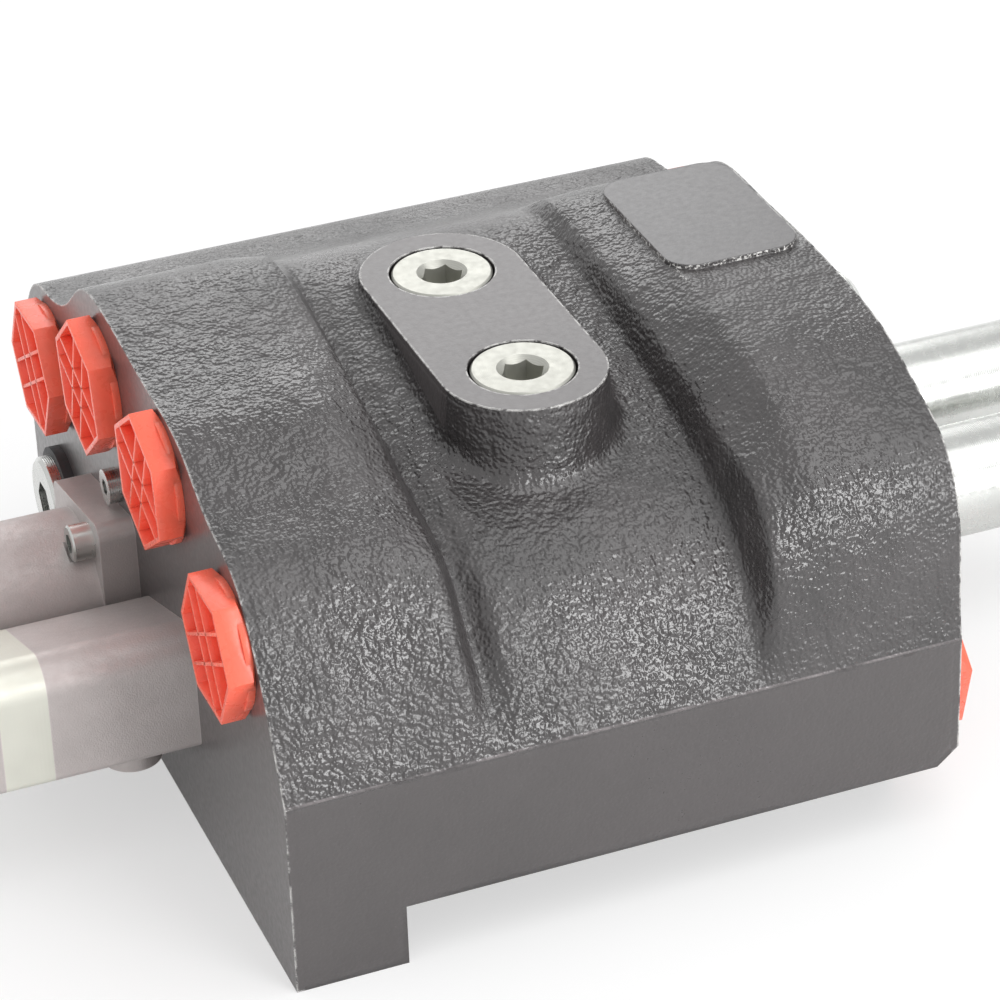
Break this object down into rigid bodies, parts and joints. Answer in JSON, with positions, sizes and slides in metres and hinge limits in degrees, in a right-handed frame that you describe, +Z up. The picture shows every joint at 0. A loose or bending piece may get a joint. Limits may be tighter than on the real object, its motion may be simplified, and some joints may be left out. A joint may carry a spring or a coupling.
{
  "type": "monoblock directional control valve",
  "caption": "Cast-iron monoblock control valve with spring-centred spools, air-pilot actuators at one end and spring caps at the other, its ports closed with red transport plugs.",
  "frame": {"origin": "on the mounting face, below the middle of the block's length and depth", "axes": "+X along the spools towards the spring caps, +Y from the front face to the rear face, +Z up out of the mounting face"},
  "size_m": [0.3583, 0.22, 0.1283],
  "materials": {
    "cast_iron_painted": "dark grey paint over sand casting",
    "plug_red": "moulded red polyethylene",
    "hardened_steel": "ground and polished",
    "zinc_bright": "bright zinc plated",
    "zinc_plug": "turned, bright zinc plated",
    "zinc_plate": "zinc plated with a greenish passivation",
    "cast_aluminium": "bead-blasted",
    "spring_steel": "oiled spring wire",
    "washer_steel": "plain steel",
    "screw_steel": "zinc plated",
    "seal_rubber": "nitrile rubber"
  },
  "bodies": {
    "block": {"cap_collar_1": "zinc_bright", "cap_collar_2": "zinc_bright", "cap_collar_3": "zinc_bright", "cap_flange_screws": "screw_steel", "cap_tube_1": "zinc_bright", "cap_tube_2": "zinc_bright", "cap_tube_3": "zinc_bright", "centring_spring_1": "spring_steel", "centring_spring_2": "spring_steel", "centring_spring_3": "spring_steel", "front_actuator_housing": "cast_aluminium", "front_cover_screws": "screw_steel", "front_end_cover": "cast_aluminium", "gauge_plug": "zinc_plug", "inner_spring_washer_1": "washer_steel", "inner_spring_washer_2": "washer_steel", "inner_spring_washer_3": "washer_steel", "load_check_plugs": "zinc_plug", "load_check_seals": "seal_rubber", "load_check_spring_1": "spring_steel", "load_check_spring_2": "spring_steel", "middle_actuator_barrel": "cast_aluminium", "middle_end_cover": "cast_aluminium", "middle_flange_screws": "screw_steel", "port_plug_a1": "plug_red", "port_plug_a2": "plug_red", "port_plug_a3": "plug_red", "port_plug_b1": "plug_red", "port_plug_b2": "plug_red", "port_plug_b3": "plug_red", "port_plug_p": "plug_red", "port_plug_t": "plug_red", "rear_bore_plug": "zinc_plug", "rear_plug_ring": "seal_rubber", "relief_adjuster": "zinc_bright", "relief_cartridge": "zinc_bright", "relief_lock_nut": "zinc_bright", "relief_spring": "spring_steel", "spacer_plate": "zinc_plate", "spool_seals": "seal_rubber", "valve_body": "cast_iron_painted"},
    "spool_set_1": {"spool_1": "hardened_steel", "outer_spring_washer_1": "washer_steel", "spool_end_bolt_1": "screw_steel", "actuator_piston_1": "cast_aluminium", "piston_nut_1": "zinc_bright"},
    "spool_set_2": {"spool_2": "hardened_steel", "outer_spring_washer_2": "washer_steel", "spool_end_bolt_2": "screw_steel", "actuator_piston_2": "cast_aluminium", "piston_nut_2": "zinc_bright"},
    "spool_set_3": {"spool_3": "hardened_steel", "outer_spring_washer_3": "washer_steel", "spool_end_bolt_3": "screw_steel"},
    "check_poppet_rear": {"load_check_poppet_1": "hardened_steel"},
    "check_poppet_front": {"load_check_poppet_2": "hardened_steel"},
    "relief_poppet_body": {"relief_poppet": "hardened_steel"}
  },
  "joints": [
    {"name": "spool_1_slide", "type": "slide", "parent": "block", "child": "spool_set_1", "axis": [1, 0, 0], "range_m": [-0.007, 0.007], "stiffness_N_per_m": 9000, "deforming": ["centring_spring_1"]},
    {"name": "spool_2_slide", "type": "slide", "parent": "block", "child": "spool_set_2", "axis": [1, 0, 0], "range_m": [-0.007, 0.007], "stiffness_N_per_m": 9000, "deforming": ["centring_spring_2"]},
    {"name": "spool_3_slide", "type": "slide", "parent": "block", "child": "spool_set_3", "axis": [1, 0, 0], "range_m": [-0.007, 0.007], "stiffness_N_per_m": 9000, "deforming": ["centring_spring_3"]},
    {"name": "check_rear_lift", "type": "slide", "parent": "block", "child": "check_poppet_rear", "axis": [0, 0, 1], "range_m": [0, 0.004], "stiffness_N_per_m": 600, "deforming": ["load_check_spring_1"]},
    {"name": "check_front_lift", "type": "slide", "parent": "block", "child": "check_poppet_front", "axis": [0, 0, 1], "range_m": [0, 0.004], "stiffness_N_per_m": 600, "deforming": ["load_check_spring_2"]},
    {"name": "relief_poppet_lift", "type": "slide", "parent": "block", "child": "relief_poppet_body", "axis": [1, 0, 0], "range_m": [0, 0.0025], "stiffness_N_per_m": 30000, "deforming": ["relief_spring"]}
  ]
}
